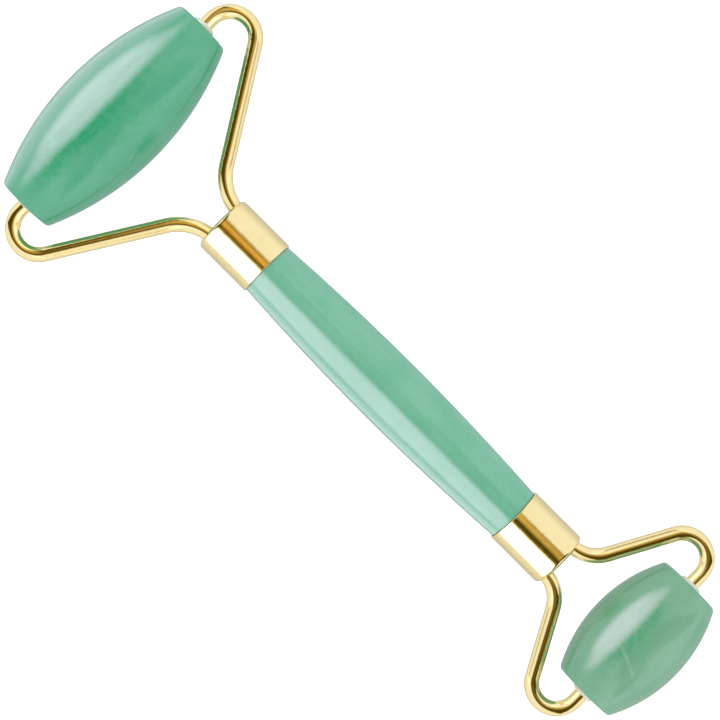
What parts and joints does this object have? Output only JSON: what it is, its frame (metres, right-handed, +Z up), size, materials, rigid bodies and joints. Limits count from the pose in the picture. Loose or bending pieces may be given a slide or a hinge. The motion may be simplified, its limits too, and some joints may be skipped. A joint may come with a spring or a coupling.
{
  "type": "jade face roller",
  "caption": "Hand-held facial massage tool: a turned green stone handle with a freely spinning barrel-shaped stone roller in a wire yoke at each end.",
  "frame": {"origin": "on the table that the tool lies on, under the middle of the tool", "axes": "+X along the handle towards the large roller, Y along both roller axles, +Z up from the table"},
  "size_m": [0.148, 0.0588, 0.0201],
  "materials": {
    "jade": "polished, softly mottled translucent green stone",
    "gold_plate": "polished gold-plated brass",
    "gold_wire": "polished gold-plated wire with faint drawing lines",
    "white_nylon": "satin moulded white nylon",
    "adhesive": "cured amber potting adhesive, hidden inside the cups"
  },
  "bodies": {
    "root": {"handle_stone": "jade", "large_ferrule": "gold_plate", "small_ferrule": "gold_plate", "large_yoke": "gold_wire", "small_yoke": "gold_wire", "large_ferrule_adhesive": "adhesive", "small_ferrule_adhesive": "adhesive"},
    "large_roller": {"large_roller_stone": "jade", "large_roller_bushing_left": "white_nylon", "large_roller_bushing_right": "white_nylon"},
    "small_roller": {"small_roller_stone": "jade", "small_roller_bushing_left": "white_nylon", "small_roller_bushing_right": "white_nylon"}
  },
  "joints": [
    {"name": "large_roller_spin", "type": "hinge", "parent": "root", "child": "large_roller", "pos_m": [0.064, 0, 0.01005], "axis": [0, 1, 0], "continuous": true},
    {"name": "small_roller_spin", "type": "hinge", "parent": "root", "child": "small_roller", "pos_m": [-0.0649, 0, 0.00915], "axis": [0, 1, 0], "continuous": true}
  ]
}
